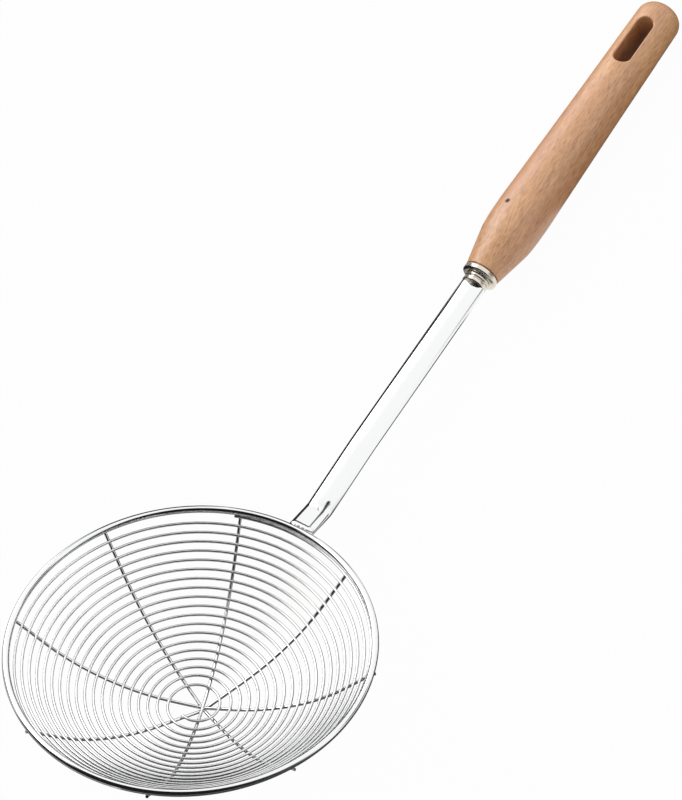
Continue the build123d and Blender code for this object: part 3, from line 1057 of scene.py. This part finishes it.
def card_material(name, grey, fade):
    """Plain grey that fades out towards the card's sides."""
    made, tree, shader = new_material(name)
    tree.nodes.remove(shader)
    place = node(tree, "ShaderNodeTexCoord")
    parts = node(tree, "ShaderNodeSeparateXYZ")
    tree.links.new(place.outputs["Object"], parts.inputs["Vector"])
    across, along = (
        share_between(
            tree, maths(tree, "ABSOLUTE", parts.outputs[axis]),
            low=CARD_HALF, high=CARD_HALF - fade,
        )
        for axis in "XY"
    )
    cover = maths(tree, "MULTIPLY", across, along)
    glow = node(tree, "ShaderNodeEmission")
    glow.inputs["Color"].default_value = (grey, grey, grey, 1)
    clear = node(tree, "ShaderNodeBsdfTransparent")
    mix_shaders(tree, cover, clear, glow, tree.nodes["Material Output"])
    return made


def card(name, place, turn, width, height, grey, fade):
    """Flat card that only reflections see, so it neither shows nor takes light away."""
    start_clear()
    bpy.ops.mesh.primitive_plane_add(
        size=1, location=place, rotation=[radians(angle) for angle in turn])
    made = bpy.context.object
    made.name = name
    made.scale = (width, height, 1)
    made.data.materials.append(card_material(name, grey, fade))
    made.visible_camera = False
    made.visible_diffuse = False
    made.visible_shadow = False
    made.visible_transmission = False


class SKIMMER_OT_stage(Operator):
    """Set up the floor, the light and the camera"""

    bl_idname = "skimmer.stage"
    bl_label = "Stage"

    def execute(self, context):
        stage = settings()[3]
        start_clear()
        bpy.ops.mesh.primitive_plane_add(size=FLOOR_SIZE, location=(0, 0, -FLOOR_DROP))
        floor = context.object
        floor.name = "floor"
        floor.data.materials.append(floor_material())
        light_room()
        key_place = KEY_DISTANCE * heading(KEY_AZIMUTH, KEY_ELEVATION)
        soft_light("key", key_place, KEY_SIZE, stage.key_strength)
        for name, values in CARDS.items():
            card(name, *values)
        bpy.ops.object.camera_add(
            location=CAMERA_PLACE, rotation=Euler([radians(turn) for turn in CAMERA_TURN]))
        camera = context.object
        camera.name = "camera"
        camera.data.lens = stage.focal_length
        camera.data.sensor_width = SENSOR_WIDTH
        camera.data.clip_start = 0.05
        camera.data.clip_end = 60
        context.scene.camera = camera
        context.scene.view_settings.view_transform = "Standard"
        return {"FINISHED"}


class SKIMMER_PT_panel(Panel):
    """Pieces of the skimmer"""

    bl_idname = "SKIMMER_PT_panel"
    bl_label = "Spider skimmer"
    bl_space_type = "VIEW_3D"
    bl_region_type = "UI"
    bl_category = "Skimmer"

    def draw(self, context):
        layout = self.layout
        for made in OPERATORS:
            layout.operator(made.bl_idname)
        for group in settings():
            box = layout.box()
            for name in group.__annotations__:
                box.prop(group, name)


OPERATORS = (
    SKIMMER_OT_rim,
    SKIMMER_OT_spiral,
    SKIMMER_OT_cross_wires,
    SKIMMER_OT_shaft,
    SKIMMER_OT_weld,
    SKIMMER_OT_neck,
    SKIMMER_OT_ferrule,
    SKIMMER_OT_tang,
    SKIMMER_OT_handle,
    SKIMMER_OT_stage,
)
GROUPS = {
    "skimmer_basket": SkimmerBasket,
    "skimmer_shaft": SkimmerShaft,
    "skimmer_finish": SkimmerFinish,
    "skimmer_stage": SkimmerStage,
}


def register():
    for made in (*GROUPS.values(), *OPERATORS, SKIMMER_PT_panel):
        bpy.utils.register_class(made)
    for name, group in GROUPS.items():
        setattr(bpy.types.Scene, name, PointerProperty(type=group))


def unregister():
    for name in GROUPS:
        delattr(bpy.types.Scene, name)
    for made in (SKIMMER_PT_panel, *reversed(OPERATORS), *GROUPS.values()):
        bpy.utils.unregister_class(made)


def main():
    register()
    for made in OPERATORS:
        group, name = made.bl_idname.split(".")
        getattr(getattr(bpy.ops, group), name)()
    start_clear()


if __name__ == "__main__":
    main()
